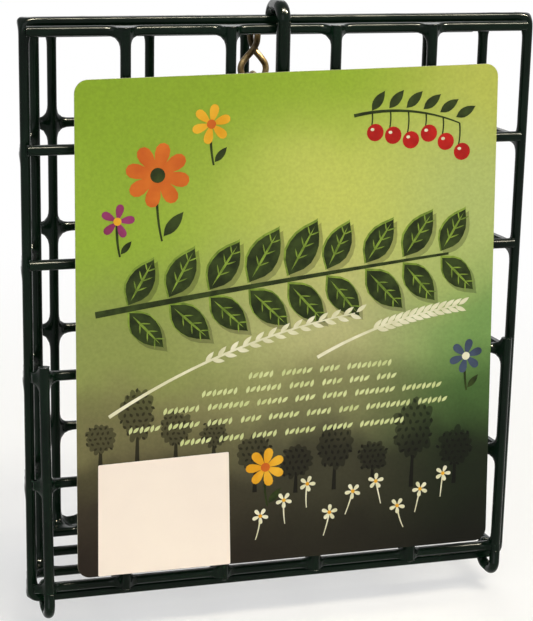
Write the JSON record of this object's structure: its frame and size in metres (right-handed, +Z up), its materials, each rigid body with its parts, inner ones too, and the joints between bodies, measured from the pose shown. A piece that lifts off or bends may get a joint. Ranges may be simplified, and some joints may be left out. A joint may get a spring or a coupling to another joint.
{
  "type": "suet feeder",
  "caption": "Wire cage feeder for a cake of suet, with a bottom-hinged wire door, a hooked latch wire, a hanging jack chain and a printed card on the door",
  "frame": {"origin": "on the floor, under the middle of the feeder's bounding box", "axes": "+Z up, +X to the right seen from the front, -Y the way the door faces"},
  "size_m": [0.12, 0.0528, 0.1423],
  "materials": {
    "green_vinyl": "gloss",
    "plated_steel": "satin",
    "printed_card": "gloss"
  },
  "bodies": {
    "cage": {"front_rim": "green_vinyl", "back_grille": "green_vinyl", "left_side_grille": "green_vinyl", "right_side_grille": "green_vinyl", "top_grille": "green_vinyl", "floor_grille": "green_vinyl"},
    "door": {"door_grille": "green_vinyl", "hinge_wire_left": "green_vinyl", "hinge_wire_right": "green_vinyl", "label_card": "printed_card"},
    "latch": {"latch_wire": "green_vinyl"},
    "top_link": {"chain_top_link": "plated_steel"},
    "link_1": {"chain_link_1": "plated_steel"},
    "link_2": {"chain_link_2": "plated_steel"},
    "link_3": {"chain_link_3": "plated_steel"},
    "link_4": {"chain_link_4": "plated_steel"},
    "link_5": {"chain_link_5": "plated_steel"},
    "link_6": {"chain_link_6": "plated_steel"},
    "link_7": {"chain_link_7": "plated_steel"}
  },
  "joints": [
    {"name": "door_hinge", "type": "hinge", "parent": "cage", "child": "door", "pos_m": [0, -0.0181, 0.00405], "axis": [1, 0, 0], "range_deg": [0, 90]},
    {"name": "latch_lift", "type": "slide", "parent": "door", "child": "latch", "axis": [0, 0, 1], "range_m": [0, 0.005], "stiffness_N_per_m": 150, "springref_m": -0.004},
    {"name": "top_link_swing", "type": "hinge", "parent": "cage", "child": "top_link", "pos_m": [-0.0003, 0.0067, 0.13246], "axis": [1, 0, 0], "range_deg": [-5.5, 5.5]},
    {"name": "link_1_swing", "type": "hinge", "parent": "top_link", "child": "link_1", "pos_m": [-0.0003, 0.0067, 0.12205], "axis": [0, 1, 0], "range_deg": [-6, 6]},
    {"name": "link_2_swing", "type": "hinge", "parent": "link_1", "child": "link_2", "pos_m": [-0.0003, 0.0067, 0.10745], "axis": [-1, 0, 0], "range_deg": [-6, 6]},
    {"name": "link_3_swing", "type": "hinge", "parent": "link_2", "child": "link_3", "pos_m": [-0.0003, 0.0067, 0.09657], "axis": [0, -1, 0], "range_deg": [-6, 6]},
    {"name": "link_4_swing", "type": "hinge", "parent": "link_3", "child": "link_4", "pos_m": [-0.0003, 0.0067, 0.08197], "axis": [1, 0, 0], "range_deg": [-6, 6]},
    {"name": "link_5_swing", "type": "hinge", "parent": "link_4", "child": "link_5", "pos_m": [-0.0003, 0.0067, 0.07109], "axis": [0, 1, 0], "range_deg": [-6, 6]},
    {"name": "link_6_swing", "type": "hinge", "parent": "link_5", "child": "link_6", "pos_m": [-0.0003, 0.0067, 0.05649], "axis": [-1, 0, 0], "range_deg": [-6, 6]},
    {"name": "link_7_swing", "type": "hinge", "parent": "link_6", "child": "link_7", "pos_m": [-0.0003, 0.0067, 0.04561], "axis": [0, -1, 0], "range_deg": [-6, 6]}
  ]
}
